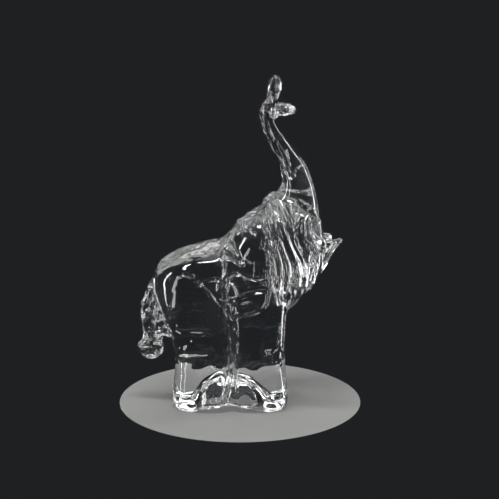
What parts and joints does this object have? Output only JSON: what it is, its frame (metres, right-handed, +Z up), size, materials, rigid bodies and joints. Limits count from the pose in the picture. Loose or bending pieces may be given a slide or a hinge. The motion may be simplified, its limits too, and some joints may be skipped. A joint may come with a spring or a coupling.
{
  "type": "crystal elephant figurine",
  "caption": "Clear hot-worked crystal elephant with a raised trunk, tooled fan ears, pulled lower jaw, joined block of legs with a hollow underside, and a twisted tail stuck to the hind legs.",
  "frame": {"origin": "centre of the bounding box in X and Y, at the level of the feet that it stands on", "axes": "+X is the way the elephant faces, +Y is its left side, +Z is up along the figure's height"},
  "size_m": [0.1116, 0.0592, 0.1826],
  "materials": {
    "crystal_glass": "clear colourless lead crystal, fire-polished, with soft tool marks and satin ground feet"
  },
  "bodies": {
    "root": {"torso": "crystal_glass", "fore_leg_right": "crystal_glass", "fore_leg_left": "crystal_glass", "hind_leg_right": "crystal_glass", "hind_leg_left": "crystal_glass", "head": "crystal_glass", "trunk": "crystal_glass", "trunk_upper_finger": "crystal_glass", "trunk_lower_finger": "crystal_glass", "lower_jaw": "crystal_glass", "ear_right": "crystal_glass", "ear_left": "crystal_glass", "tusk_right": "crystal_glass", "tusk_left": "crystal_glass", "tail": "crystal_glass", "tail_anchor": "crystal_glass", "tail_tuft": "crystal_glass"}
  },
  "joints": []
}
